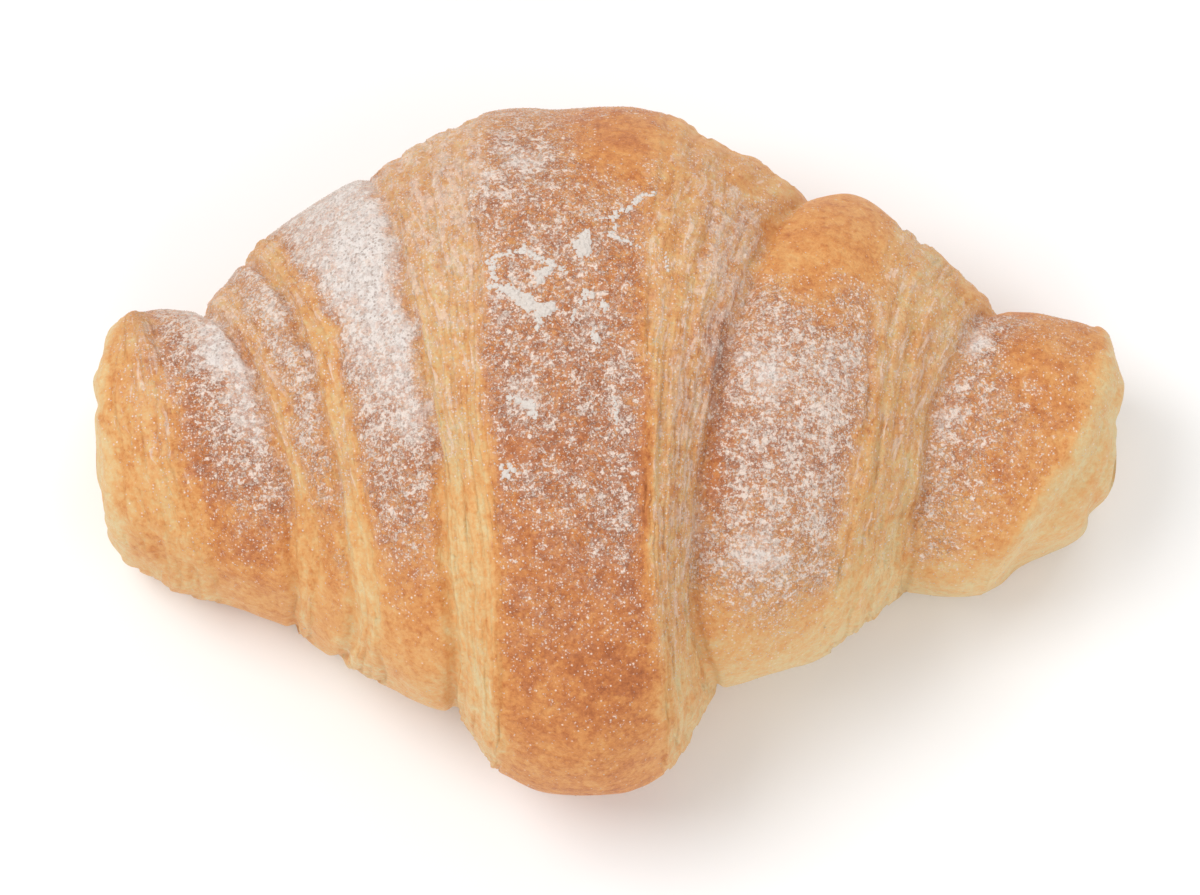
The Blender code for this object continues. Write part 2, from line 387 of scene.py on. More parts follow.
# The browning is mottled. The sugar starts and ends raggedly, by so many degrees, and fades out
# over SUGAR_END degrees on each side of its end.
BAKE_MOTTLING = ((0.10, 7.0, 77),)
SUGAR_RAGGEDNESS = ((14, 8.0, 5), (7, 3.0, 9))
SUGAR_END = 10

end_steps = (np.arange(1, END_COLUMNS + 1) / END_COLUMNS)[:, None]
add_end(EDGES[0], LEFT_POLE, end_steps[::-1], LEFT_RIM_BAKE)
for number, strip in enumerate(STRIPS):
    before = EDGES[number]
    after = EDGES[number + 1]
    last = strip is STRIPS[-1]
    t = np.linspace(0, 1, strip.columns + 1)[: None if last else -1, None]
    points = strip_form(number, t, around[None])
    rise = height_of(after.depth) - height_of(before.depth)
    width = math.hypot(after.top - before.top, rise)
    raised = 0 * points[..., 0]
    tones = 0 * raised
    if strip.layers:
        raised, tones = open_layers(number, t, points)
        room = np.hypot(edge_x(after, around) - edge_x(before, around), rise)
        raised = raised * soft_step(room, *LAYER_ROOM)
    raised = lumpy(points, SLOPE_LUMPS if strip.layers else CROWN_LUMPS, raised, number)
    for edge, distance in ((before, t * width), (after, (1 - t) * width)):
        if edge.name.endswith("_foot"):
            raised = raised - CREASE_DEPTH * near(distance, CREASE_WIDTH)
        elif edge.name.endswith("_edge") and not strip.layers:
            raised = raised + LIP_HEIGHT * near(distance, LIP_WIDTH)
    if number == 0:
        raised = raised * soft_step(t, 0, FIRST_STRIP_FULL)
    elif last:
        raised = raised * soft_step(t, 1, LAST_STRIP_FULL)
    low, full, high, amount, lean = strip.sugar
    ragged = lumpy(points, SUGAR_RAGGEDNESS, degrees[None])
    dusted = soft_step(ragged, low, full) * soft_step(ragged, high + SUGAR_END, high - SUGAR_END)
    add_columns(
        form=points,
        relief=raised,
        bake=lumpy(points, BAKE_MOTTLING, np.interp(degrees, BAKE_ANGLES, strip.bake)[None]),
        sugar=amount * dusted * np.clip(1 + lean * (2 * t - 1), 0, 2),
        tone=tones,
        slope=np.full_like(raised, 1.0 if strip.layers else 0.0),
    )
add_end(EDGES[-1], RIGHT_POLE, end_steps, RIGHT_RIM_BAKE)


def softened(field, passes):
    """The field with each column blended into its neighbours, but for the two ends."""
    for _ in range(passes):
        field[1:-1] = (field[:-2] + 2 * field[1:-1] + field[2:]) / 4
    return field


# Neighbouring columns are blended so many times, and the relief fades out towards the tray,
# between these two heights over it.
FORM_SOFTENING = 8
TRAY_FADE = (0.2, 3.0)
form = softened(np.concatenate(parts["form"]), FORM_SOFTENING)
relief = np.concatenate(parts["relief"]) * soft_step(form[..., 2], *TRAY_FADE)

# The rims of the two ends are rounded over, over as many millimetres wherever the columns lie. The
# rounding starts and ends softly, between these numbers of columns inwards from the rim.
LEFT_RIM_SOFTENING = 0.7
RIGHT_RIM_SOFTENING = 1.6
RIM_PASSES = 200
RIM_STARTS = (-8, 0)
RIM_ENDS = (90, 55)
from_left = np.arange(1, len(form) - 1)
inwards = np.minimum(from_left, from_left[::-1]) - END_COLUMNS
at_rim = soft_step(inwards, *RIM_STARTS) * soft_step(inwards, *RIM_ENDS)
reach = np.where(from_left < from_left[::-1], LEFT_RIM_SOFTENING, RIGHT_RIM_SOFTENING)[:, None]
for _ in range(RIM_PASSES):
    spacing = np.linalg.norm(form[2:] - form[:-2], axis=2) / 2
    share = np.minimum(2 * (reach / spacing) ** 2 / RIM_PASSES, 1) * at_rim[:, None]
    form[1:-1] += share[..., None] * (form[:-2] - 2 * form[1:-1] + form[2:]) / 4


def outwards(points):
    """The surface's normals, from the points' differences across the wraps and round them."""
    over_columns = np.gradient(points, axis=0)
    over_rows = np.gradient(points, axis=1)
    over_seam = points[:, 1] - points[:, -2]
    over_rows[:, 0] = over_seam
    over_rows[:, -1] = over_seam
    normal = np.cross(over_columns, over_rows)
    length = np.linalg.norm(normal, axis=2, keepdims=True)
    return normal / np.maximum(length, 1e-9)


facing = outwards(form)
skin = form + facing * relief[..., None]
skin[..., 2] = np.maximum(skin[..., 2], 0)

# What the photo's camera sees: a place on the croissant is given as millimetres to the right of
# the middle of the picture and above it, on a plane through AIM that faces the camera.
AIM = np.array((-0.55, 0.62, 20.2))
LOOKING_DOWN = math.radians(70)
EYE = np.array((0, -math.cos(LOOKING_DOWN), math.sin(LOOKING_DOWN)))
CAMERA_DISTANCE = 750.0
upwards = np.cross(EYE, (1, 0, 0))
from_camera = skin - AIM - CAMERA_DISTANCE * EYE
away = from_camera @ -EYE / CAMERA_DISTANCE
seen_right = from_camera[..., 0] / away
seen_up = from_camera @ upwards / away

# A patch is its place to the right and up, half its width and height, and how much darker or more
# sugared it is. Some of the darker patches are painted shade, as marked. Its outline is ragged, and
# it fades out where the surface turns away from the camera.
DARKER = (
    (-55.0, 5.0, 2.4, 8.0, 0.20),
    (-49.0, -9.0, 4.0, 5.0, -0.08),
    # Partly browning and partly painted shade, in the crease between the middle wrap's right slope
    # and the right wrap.
    (15.6, -1.0, 1.6, 9.0, 0.10),
    # Painted shadow higher in the same crease, where the middle wrap shades it.
    (15.8, 12.5, 1.5, 6.0, 0.42),
    (-14.0, -8.0, 1.6, 14.0, 0.08),
    # Painted shade along the right edge of the middle wrap's crown.
    (6.0, -3.0, 1.4, 12.0, 0.20),
    (-63.0, 6.0, 2.5, 9.0, -0.08),
    (-50.0, -19.0, 9.0, 3.5, -0.14),
    (-25.0, -33.0, 8.0, 3.0, -0.14),
    (24.0, -30.5, 9.0, 3.0, -0.02),
    (29.0, 25.5, 5.5, 4.5, 0.04),
    (1.4, 42.3, 6.0, 3.0, 0.10),
    (50.0, -17.5, 9.0, 3.5, -0.10),
    (56.8, -3.7, 3.0, 4.0, 0.12),
    (48.0, -16.8, 4.0, 3.0, 0.06),
    (55.0, 13.0, 5.0, 4.0, 0.06),
    (-60.9, -14.5, 6.0, 4.0, 0.03),
    (-49.0, -15.0, 4.0, 5.0, 0.05),
    (0.0, -29.0, 8.0, 6.0, 0.05),
    (-34.5, -4.4, 1.4, 9.0, -0.06),
    (-19.3, 3.0, 3.0, 7.0, -0.05),
    (67.3, -8.2, 1.4, 2.6, 0.30),
)
SUGARED = (
    (-10.4, 38.9, 5.5, 3.0, 0.34),
    (3.0, 41.5, 6.5, 4.0, -0.50),
    (-5.0, 27.0, 6.0, 5.0, 0.14),
    (-10.0, 18.0, 4.0, 5.0, 0.14),
    (-10.0, 6.5, 2.4, 3.0, 0.36),
    (-11.5, 0.0, 2.4, 3.0, -0.20),
    (-1.0, 16.0, 2.6, 3.6, 0.28),
    (2.2, 5.0, 3.0, 6.0, 0.24),
    (2.2, -9.5, 3.0, 4.5, 0.28),
    (-9.0, -4.5, 2.0, 2.0, 0.20),
    (-10.5, -12.0, 3.0, 6.0, -0.12),
    (6.3, -6.0, 0.9, 16.0, -0.35),
    (-19.0, 32.0, 3.4, 6.0, 0.20),
    (22.9, 9.7, 3.4, 3.0, 0.20),
    (31.0, 11.0, 3.0, 3.0, 0.10),
    (22.2, -15.2, 3.4, 2.6, 0.24),
    (15.8, 12.5, 1.5, 6.0, 0.04),
    (16.0, 28.0, 1.4, 4.0, 0.20),
    (15.2, -3.0, 1.6, 6.0, -0.40),
    (51.0, 14.3, 2.6, 2.6, 0.32),
    (57.5, 12.5, 4.5, 4.0, -0.30),
    (47.0, 4.0, 2.2, 4.0, 0.14),
    (45.0, -13.7, 3.0, 2.0, 0.22),
    (-33.0, 24.0, 3.0, 6.0, 0.14),
    (-51.5, 13.0, 2.2, 3.0, 0.14),
    (-57.5, 13.5, 3.0, 5.0, 0.16),
    (50.5, 21.3, 3.0, 2.5, -0.36),
    (-34.5, -4.4, 1.2, 8.0, 0.34),
    (-19.3, 3.0, 2.6, 6.0, 0.24),
)
PATCH_RAGGEDNESS = ((0.8, 3.0, 21), (0.5, 1.5, 22))
PATCH_RAGGED_LEAST = 0.4
FACING_ENOUGH = 0.3
patch_outline = np.maximum(lumpy(skin, PATCH_RAGGEDNESS, 1), PATCH_RAGGED_LEAST)
turned_to_camera = soft_step(facing @ EYE, 0.0, FACING_ENOUGH)


def patched(field, patches):
    """The field with patches added to it, where the photo's camera sees them."""
    for right, up, wide, tall, amount in patches:
        off = np.hypot((seen_right - right) / wide, (seen_up - up) / tall) * patch_outline
        field = field + amount * near(off, 1.0) * turned_to_camera
    return field


# Browning and sugar run over the edges of the strips, softly and raggedly.
PAINT_SOFTENING = 30
PAINT_WANDER = 1.6
PAINT_LUMPS = ((1.0, 6.0, 61), (0.5, 2.2, 62))
step = np.linalg.norm(np.diff(form[:, ROWS // 2], axis=0), axis=1)
across = np.concatenate([[0], np.cumsum(step)])
length = np.linalg.norm(np.diff(form, axis=1), axis=2)
round_roll = np.concatenate([0 * length[:, :1], np.cumsum(length, axis=1)], axis=1)
wander = PAINT_WANDER * lumpy(form, PAINT_LUMPS)


def painted(name):
    """The strips' values as one soft-edged field, whose edges wander off the dough's."""
    field = softened(np.concatenate(parts[name]), PAINT_SOFTENING)
    rows = (np.interp(across + wander[:, k], across, field[:, k]) for k in range(ROWS + 1))
    return np.stack(list(rows), axis=1)


# The fields that the mesh carries for its material and for the grains. The bake field carries the
# browning and, from some of the darker patches, painted shade.
coats = {
    "bake": patched(painted("bake"), DARKER),
    "sugar": np.maximum(patched(painted("sugar"), SUGARED), 0),
    "tone": painted("tone"),
    "slope": painted("slope"),
}


def line_number(share, lines):
    """The number of the column or row that lies at this share of the sheet."""
    return np.rint(share * lines).astype(int)


# A flat sheet of as many columns and rows is laid round the roll, and closed at its two ends and
# where its first row meets its last.
SEAM_MERGE = 0.001
columns = len(form) - 1
bpy.ops.object.select_all(action="DESELECT")
bpy.ops.mesh.primitive_grid_add(x_subdivisions=columns, y_subdivisions=ROWS, size=1)
crust = bpy.context.object
crust.name = "crust"
flat_sheet = np.empty(3 * len(crust.data.vertices))
crust.data.vertices.foreach_get("co", flat_sheet)
column = line_number(flat_sheet[0::3] + 0.5, columns)
row = line_number(flat_sheet[1::3] + 0.5, ROWS)
crust.data.vertices.foreach_set("co", (skin[column, row] * MM).ravel())
for name, field in coats.items():
    kept = crust.data.attributes.new(name, "FLOAT", "POINT")
    kept.data.foreach_set("value", field[column, row])
bpy.ops.object.mode_set(mode="EDIT")
bpy.ops.mesh.select_all(action="SELECT")
bpy.ops.mesh.remove_doubles(threshold=SEAM_MERGE * MM)
bpy.ops.mesh.normals_make_consistent(inside=False)
bpy.ops.object.mode_set(mode="OBJECT")
bpy.ops.object.shade_smooth()

# The sheet's own map gets millimetres across the wraps, with a share of the wander, and round them.
MAP_WANDER = 0.6
sheet = crust.data.uv_layers.active
sheet.name = "wrapped"
corners = np.empty(2 * len(sheet.uv))
sheet.uv.foreach_get("vector", corners)
column = line_number(corners[0::2], columns)
row = line_number(corners[1::2], ROWS)
meander = across[column] + MAP_WANDER * wander[column, row]
sheet.uv.foreach_set("vector", np.stack([meander, round_roll[column, row]], axis=1).ravel())


class Wire:
    """A socket in a node tree: Python's operators add Math nodes, and node() adds all others."""

    def __init__(self, tree, socket=None):
        self.tree = tree
        self.socket = socket

    def node(self, kind, settings, inputs, output=0):
        """A node with its settings made first, and then values or wires in its sockets."""
        made = self.tree.nodes.new(kind)
        for name, value in settings.items():
            if name == "stops":
                for spot, _ in value[1:-1]:
                    made.color_ramp.elements.new(spot)
                for stop, (spot, colour) in zip(made.color_ramp.elements, value):
                    stop.position = spot
                    stop.color = (*colour, 1)
            else:
                setattr(made, name, value)
        for name, value in inputs.items():
            if isinstance(value, Wire):
                self.tree.links.new(value.socket, made.inputs[name])
            else:
                made.inputs[name].default_value = value
        return Wire(self.tree, made.outputs[output])

    def math(self, operation, first, second):
        """A Math node on two values or wires."""
        return self.node("ShaderNodeMath", {"operation": operation}, {0: first, 1: second})

    def __add__(self, other):
        return self.math("ADD", self, other)

    def __radd__(self, other):
        return self.math("ADD", other, self)

    def __sub__(self, other):
        return self.math("SUBTRACT", self, other)

    def __rsub__(self, other):
        return self.math("SUBTRACT", other, self)

    def __mul__(self, other):
        return self.math("MULTIPLY", self, other)

    def __rmul__(self, other):
        return self.math("MULTIPLY", other, self)

    def at_least(self, other):
        """The larger of the two."""
        return self.math("MAXIMUM", self, other)

    def at_most(self, other):
        """The smaller of the two."""
        return self.math("MINIMUM", self, other)

    def feed(self, socket):
        """Links the wire to a socket of a node that is there already."""
        self.tree.links.new(self.socket, socket)


def mottle(at, size, detail, roughness=0.6):
    """Noise round 0.5 with blots of this size in millimetres."""
    inputs = {"Vector": at, "Scale": 1 / (size * MM), "Detail": detail, "Roughness": roughness}
    return at.node("ShaderNodeTexNoise", {}, inputs)


def smooth_between(value, start, end):
    """0 at the start and before it, 1 at the end and beyond it, with a smooth rise between."""
    settings = {"interpolation_type": "SMOOTHSTEP"}
    inputs = {"Value": value, "From Min": start, "From Max": end}
    return value.node("ShaderNodeMapRange", settings, inputs)


browned_crust = bpy.data.materials.new("browned_crust")
browned_crust.use_nodes = True
surface = browned_crust.node_tree.nodes["Principled BSDF"]
paint = Wire(browned_crust.node_tree)
place = paint.node("ShaderNodeTexCoord", {}, {}, "Object")
wrapped = paint.node("ShaderNodeUVMap", {"uv_map": "wrapped"}, {})


def field_of(name):
    """One of the fields that the mesh carries."""
    return paint.node("ShaderNodeAttribute", {"attribute_name": name}, {}, "Fac")


def streaks(wide, long, detail):
    """Noise round 0.5 that runs round the roll, in streaks of this width and length."""
    scale = (1 / wide, 1 / long, 1)
    at = paint.node("ShaderNodeMapping", {}, {"Vector": wrapped, "Scale": scale})
    inputs = {"Vector": at, "Scale": 1.0, "Detail": detail, "Roughness": 0.6}
    return paint.node("ShaderNodeTexNoise", {"noise_dimensions": "2D"}, inputs)


def ridges(size, wide):
    """Worm-like ridges that wander about, 1 along their tops."""
    off = mottle(place, size, detail=2.0) - 0.5
    return 1 - smooth_between(off.at_least(0 - off), start=0.0, end=wide)


# A fleck shows where its noise, raised by the density, passes this level.
FLECKS_GAIN = 0.40
FLECKS_LEVEL = 0.70


def flecks(size, density):
    """Ragged flecks of powder of this size, covering more the denser it lies."""
    raised = mottle(place, size, detail=2.0, roughness=0.7) + density * FLECKS_GAIN - FLECKS_LEVEL
    return smooth_between(raised, start=0.0, end=0.15)


def specks(spacing, density):
    """Single round grains at about this spacing, on as large a share of the places."""
    cells = {"Vector": place, "Scale": 1 / (spacing * MM)}
    draw = place.node("ShaderNodeTexVoronoi", {}, cells, "Color")
    chance = place.node("ShaderNodeSeparateColor", {}, {"Color": draw}, "Red")
    off = place.node("ShaderNodeTexVoronoi", {}, cells, "Distance")
    drawn = smooth_between(density - chance, start=0.0, end=0.05)
    return drawn * (1 - smooth_between(off, start=0.22, end=0.42))


def mixed(share, first, second):
    """The first colour turning into the second one by this share, in a Mix node's sockets."""
    inputs = {0: share, 6: first, 7: second}
    return paint.node("ShaderNodeMix", {"data_type": "RGBA"}, inputs, 2)


# The patterns of the crust: blots, wrinkles and pebbles, and streaks that run round the roll. It
# is rougher under sugar.
ROUGH_BARE = 0.35
ROUGH_SUGARED = 1.1
slope = field_of("slope")
lying = field_of("sugar")
rough = (ROUGH_BARE + lying * ROUGH_SUGARED).at_most(1.0)
blots = mottle(place, size=2.6, detail=3.0)
wrinkles = mottle(place, size=1.3, detail=2.0)
pebbles = mottle(place, size=0.62, detail=4.0, roughness=0.8)
threads = streaks(wide=0.6, long=1.8, detail=4.0)
bands = streaks(wide=1.5, long=7.0, detail=3.0)

# How much browner or paler each pattern makes the crust, and how much more on a slope. Under the
# sugar the crust is painted darker as shade, and the bake field brings in painted shade as well.
BLOT_BROWN = 0.64
WRINKLE_BROWN = 0.25
PEBBLE_BROWN = 0.5
THREAD_BROWN = 0.10
THREAD_SLOPE_BROWN = 0.36
BAND_BROWN = 0.10
BAND_SLOPE_BROWN = 0.45
LAYER_BROWN = 0.13
# Painted shade: the crust is darkened where the sugar lies.
UNDER_SUGAR_SHADE = 0.11
BROWN_SCALE = 0.9
CRUST_COLOURS = (
    (0.00, (0.775, 0.60, 0.32)),
    (0.20, (0.785, 0.50, 0.22)),
    (0.41, (0.78, 0.39, 0.135)),
    (0.62, (0.69, 0.28, 0.080)),
    (0.80, (0.55, 0.18, 0.050)),
    (1.00, (0.38, 0.11, 0.033)),
)
browning_and_shade = (
    field_of("bake")
    + (blots - 0.5) * BLOT_BROWN
    + (wrinkles - 0.5) * WRINKLE_BROWN
    + (pebbles - 0.5) * (PEBBLE_BROWN + rough)
    + (threads - 0.5) * (THREAD_BROWN + slope * THREAD_SLOPE_BROWN)
    + (bands - 0.5) * (BAND_BROWN + slope * BAND_SLOPE_BROWN)
    + field_of("tone") * slope * LAYER_BROWN
    + smooth_between(lying, start=0.25, end=0.6) * UNDER_SUGAR_SHADE
)
browned_and_shaded = {"Fac": browning_and_shade * BROWN_SCALE}
crust_colour = paint.node("ShaderNodeValToRGB", {"stops": CRUST_COLOURS}, browned_and_shaded)

# How the sugar lies. It drifts, less so where it is dense, it slips off the slopes but for their
# threads, and a trace of it is everywhere.
DRIFTING = 1.5
DRIFTING_LESS = 1.2
SLIPPED = 0.7
CAUGHT = 1.4
TRACE = 0.025
TRACE_SLIPPED = 0.3
thick = smooth_between(lying, start=0.55, end=0.95)
drifts = smooth_between(mottle(place, size=2.1, detail=4.0), start=0.3, end=0.7)
drifted = 1 + (drifts - 0.5) * (DRIFTING - lying * DRIFTING_LESS)
density = lying * drifted * (1 - slope * SLIPPED + slope * threads * CAUGHT)
density = density + TRACE * (1 - slope * TRACE_SLIPPED)

# How strongly the sugar shows: as a haze, as fine and coarse flecks, as streaks on the slopes, as
# single specks and along crags, each with what thick sugar and the slopes add or take away.
HAZE = 0.31
HAZE_THICK = 0.57
HAZE_SLOPE = 0.14
FINE_FLECKS = 0.84
FINE_FLECKS_THICK = 0.2
FINE_FLECKS_SLOPE = 0.3
COARSE_FLECKS = 0.94
COARSE_FLECKS_DENSITY = 0.90
COARSE_FLECKS_SLOPE = 0.5
STREAKS = 0.50
STREAKS_GAIN = 0.5
STREAKS_LEVEL = 0.72
SPECKS = 0.88
SPECKS_LEAST = 0.01
CRAGS = 0.36
CRAGS_THICK = 0.8
hazy = HAZE + thick * HAZE_THICK + slope * HAZE_SLOPE
powder = smooth_between(density, start=0.05, end=1.1) * hazy
fine = flecks(size=0.45, density=density * (1 - slope * FINE_FLECKS_SLOPE))
powder = powder.at_least(fine * (FINE_FLECKS - thick * FINE_FLECKS_THICK))
coarse_density = density * (COARSE_FLECKS_DENSITY - slope * COARSE_FLECKS_SLOPE)
powder = powder.at_least(flecks(size=0.90, density=coarse_density) * COARSE_FLECKS)
streaky = streaks(wide=0.8, long=6.0, detail=3.0) + density * STREAKS_GAIN - STREAKS_LEVEL
powder = powder.at_least(smooth_between(streaky, start=0.0, end=0.14) * slope * STREAKS)
powder = powder.at_least(specks(spacing=0.42, density=SPECKS_LEAST + density) * SPECKS)
crags = ridges(size=1.5, wide=0.05) * smooth_between(lying, start=0.15, end=0.45)
crags = crags * (1 - slope) * (1 - thick * CRAGS_THICK)
powder = powder.at_least(crags * CRAGS)

# Pits in the crust show through the sugar, less where it is thick, where bare specks are left, and
# shade is painted into them.
PITS_FILLED = 0.5
BARE_SPECKS = 0.55
PITS_BARE = 0.20
PIT_SHADOW_SHARE = 0.46
PIT_SHADOW_THICK_LESS = 0.10
pits = mottle(place, size=0.8, detail=3.0, roughness=0.8)
pits = smooth_between(pits, start=0.50, end=0.66) * (1 - thick * PITS_FILLED)
bare_specks = specks(spacing=0.46, density=thick * BARE_SPECKS)
pits = pits.at_least(bare_specks * smooth_between(thick, start=0.0, end=0.4))
powder = powder * (1 - pits * PITS_BARE)

THIN_SUGAR = (0.97, 0.80, 0.69, 1)
THICK_SUGAR = (0.88, 0.815, 0.77, 1)
# The painted shade of the pits: a dark grey-brown.
PIT_SHADOW = (0.34, 0.22, 0.17, 1)
frosted = mixed(powder, crust_colour, mixed(thick, THIN_SUGAR, THICK_SUGAR))
# The pits' painted shade is mixed into the colour, less where the sugar is thick.
pit_shaded = mixed(pits * powder * (PIT_SHADOW_SHARE - thick * PIT_SHADOW_THICK_LESS), frosted, PIT_SHADOW)
pit_shaded.feed(surface.inputs["Base Color"])

# The egg wash leaves the bare crust a little glossy, and the powder is dull.
BARE_ROUGHNESS = 0.48
POWDER_ROUGHNESS = 0.45
PEBBLE_ROUGHNESS = 0.3
CRUST_SPECULAR = 0.3
dull = BARE_ROUGHNESS + powder * POWDER_ROUGHNESS + (pebbles - 0.5) * PEBBLE_ROUGHNESS
dull.feed(surface.inputs["Roughness"])
surface.inputs["Specular IOR Level"].default_value = CRUST_SPECULAR

# How high each pattern stands, as a share of the bump's height in millimetres.
BUMP = 0.40
PEBBLE_BUMP = 0.4
PEBBLE_BUMP_ROUGH = 0.8
PEBBLE_BUMP_THICK = 0.3
WRINKLE_BUMP = 0.3
WRINKLE_BUMP_ROUGH = 0.9
WRINKLE_BUMP_THICK = 0.6
CRAG_BUMP = 0.4
BLOT_BUMP = 0.7
POWDER_BUMP = 0.2
PIT_BUMP = 0.5
THREAD_BUMP = 0.4
height = (
    pebbles * (PEBBLE_BUMP + rough * PEBBLE_BUMP_ROUGH - thick * PEBBLE_BUMP_THICK)
    + wrinkles * (WRINKLE_BUMP + rough * WRINKLE_BUMP_ROUGH - thick * WRINKLE_BUMP_THICK)
    + crags * CRAG_BUMP
    + blots * BLOT_BUMP
    + powder * POWDER_BUMP
    - pits * lying * PIT_BUMP
    + threads * slope * THREAD_BUMP
)
bumped = {"Height": height, "Strength": 1.0, "Distance": BUMP * MM}
paint.node("ShaderNodeBump", {}, bumped).feed(surface.inputs["Normal"])

crust.data.materials.append(browned_crust)
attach(crust, "root")
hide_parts("croissant")


# The sugar's grains
# The coarser grains of icing sugar, sifted over the croissant: each is a single speck, about a
# quarter of a millimetre across, that has stuck to the crust.
GRAIN_RADIUS = 0.13
GRAIN_HEIGHT = 0.19
SMALLEST_GRAIN = (0.5, 0.5, 0.4)
LARGEST_GRAIN = (1.3, 1.3, 0.9)
ANY_WAY_ROUND = (6.28, 6.28, 6.28)

# They lie as densely as the powder does, with a few more strewn above the tray, in drifts, and
# fewer on the slopes.
GRAINS_PER_SQUARE_MM = 7.0
STREWN = 0.02
STREWN_FROM = 3.0
STREWN_TO = 15.0
GRAINS_LEAST = 0.3
GRAINS_DRIFTED = 1.2
GRAINS_SLIPPED = 0.4

bpy.ops.object.select_all(action="DESELECT")
bpy.ops.mesh.primitive_cone_add(
    vertices=3, radius1=GRAIN_RADIUS * MM, depth=GRAIN_HEIGHT * MM, end_fill_type="TRIFAN"
)
grains = bpy.context.object
grains.name = "sugar_grains"
sifting = bpy.data.node_groups.new("sifting", "GeometryNodeTree")
sifting.interface.new_socket("Geometry", in_out="INPUT", socket_type="NodeSocketGeometry")
sifting.interface.new_socket("Geometry", in_out="OUTPUT", socket_type="NodeSocketGeometry")
sieve = Wire(sifting)
one_grain = sieve.node("NodeGroupInput", {}, {})
ground = sieve.node("GeometryNodeObjectInfo", {}, {"Object": crust}, "Geometry")
at = sieve.node("GeometryNodeInputPosition", {}, {})
dusted = sieve.node("GeometryNodeInputNamedAttribute", {}, {"Name": "sugar"})
sloping = sieve.node("GeometryNodeInputNamedAttribute", {}, {"Name": "slope"})
high_up = sieve.node("ShaderNodeSeparateXYZ", {}, {"Vector": at}, "Z")
in_drifts = smooth_between(mottle(at, size=1.7, detail=4.0), start=0.3, end=0.7)
strewn = dusted + smooth_between(high_up, start=STREWN_FROM * MM, end=STREWN_TO * MM) * STREWN
strewn = strewn * (GRAINS_LEAST + in_drifts * GRAINS_DRIFTED)
strewn = strewn * (1 - sloping * GRAINS_SLIPPED) * (GRAINS_PER_SQUARE_MM / MM**2)
fallen = sieve.node("GeometryNodeDistributePointsOnFaces", {}, {"Mesh": ground, "Density": strewn})
vectors = {"data_type": "FLOAT_VECTOR"}
sized = sieve.node("FunctionNodeRandomValue", vectors, {0: SMALLEST_GRAIN, 1: LARGEST_GRAIN})
turned = sieve.node("FunctionNodeRandomValue", vectors, {0: (0, 0, 0), 1: ANY_WAY_ROUND})
scattered = {"Points": fallen, "Instance": one_grain, "Rotation": turned, "Scale": sized}
stuck = sieve.node("GeometryNodeInstanceOnPoints", {}, scattered)
made = sieve.node("GeometryNodeRealizeInstances", {}, {"Geometry": stuck})
laid = sifting.nodes.new("NodeGroupOutput")
made.feed(laid.inputs[0])
bpy.ops.object.modifier_add(type="NODES")
grains.modifiers[0].node_group = sifting
bpy.ops.object.modifier_apply(modifier=grains.modifiers[0].name)

ICING_SUGAR = (0.68, 0.615, 0.56, 1)
ICING_ROUGHNESS = 0.95
icing_sugar = bpy.data.materials.new("icing_sugar")
icing_sugar.use_nodes = True
powdery = icing_sugar.node_tree.nodes["Principled BSDF"]
powdery.inputs["Base Color"].default_value = ICING_SUGAR
powdery.inputs["Roughness"].default_value = ICING_ROUGHNESS
grains.data.materials.clear()
grains.data.materials.append(icing_sugar)
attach(grains, "root")


# The sugar's clumps
# Sugar that fell in lumps on the middle wrap and caked there: crumbly ridges and a few loose
# crumbs, a millimetre or two wide, that stick up from the crust.

# A clump is a stroke through these places, to the right and up, that is so thick at each. It is
# made of crumbs, a few side by side, that differ in size and are sunk a little into the crust.
CRUMB_SPACING = 0.55
CRUMBS_ABREAST = 3
CRUMB_SPREAD = 0.7
CRUMB_SIZE = 0.8
CRUMB_SIZE_RANGE = 0.35
CRUMB_SUNK = 0.5
CRUMB_SEED = 3
CLUMPS = {
    "drop": ((-1.6, 29.6, 0.3), (-2.2, 28.2, 0.8), (-2.5, 27.0, 1.1), (-2.3, 26.2, 0.9)),
    "arch": ((-14.0, 22.7, 0.4), (-15.1, 25.0, 0.5), (-13.5, 26.0, 0.35), (-10.5, 26.6, 0.4)),
    "long_ridge": ((-10.4, 27.3, 0.35), (-9.1, 25.9, 0.45), (-7.0, 25.2, 0.5), (-4.7, 23.9, 0.4)),
    "ridge_lobe": ((-7.9, 22.9, 0.8), (-7.2, 23.9, 0.9)),
    "band": ((-14.7, 21.8, 0.5), (-11.9, 21.2, 0.7), (-10.0, 19.7, 0.9), (-8.1, 18.7, 1.0)),
    "band_fork": ((-8.1, 18.7, 1.0), (-6.6, 19.1, 0.7)),
    "band_end": ((-8.2, 18.3, 0.8), (-8.5, 15.9, 0.4)),
    "streak": ((7.6, 34.5, 0.3), (5.3, 33.7, 0.4), (4.0, 32.4, 0.5), (2.3, 31.6, 0.45)),
    "streak_end": ((2.3, 31.6, 0.45), (1.6, 31.0, 0.4), (-0.7, 30.9, 0.2)),
    "branch": ((2.1, 30.2, 0.3), (1.4, 28.8, 0.4), (3.3, 28.0, 0.3), (5.3, 27.1, 0.2)),
    "hook": ((-2.5, 19.6, 0.4), (-2.0, 21.2, 0.35), (-1.1, 20.7, 0.5)),
    "crumb_a": ((0.4, 19.6, 0.5), (0.8, 19.0, 0.6)),
    "crumb_b": ((-3.5, 18.4, 0.35), (-3.8, 17.1, 0.3)),
    "crumb_c": ((-1.0, 15.6, 0.45), (-0.5, 14.3, 0.55)),
    "edge_crumb": ((8.9, 26.3, 0.2), (9.0, 23.9, 0.25)),
    "heart": ((-13.2, -2.7, 0.55), (-12.7, -3.8, 0.5), (-12.1, -2.8, 0.55)),
    "low_band": ((-12.3, 6.8, 0.45), (-9.6, 5.9, 0.6), (-8.8, 4.3, 0.5)),
    "thin_streak": ((1.8, 6.8, 0.22), (2.2, 4.7, 0.28), (2.3, 2.5, 0.22)),
}

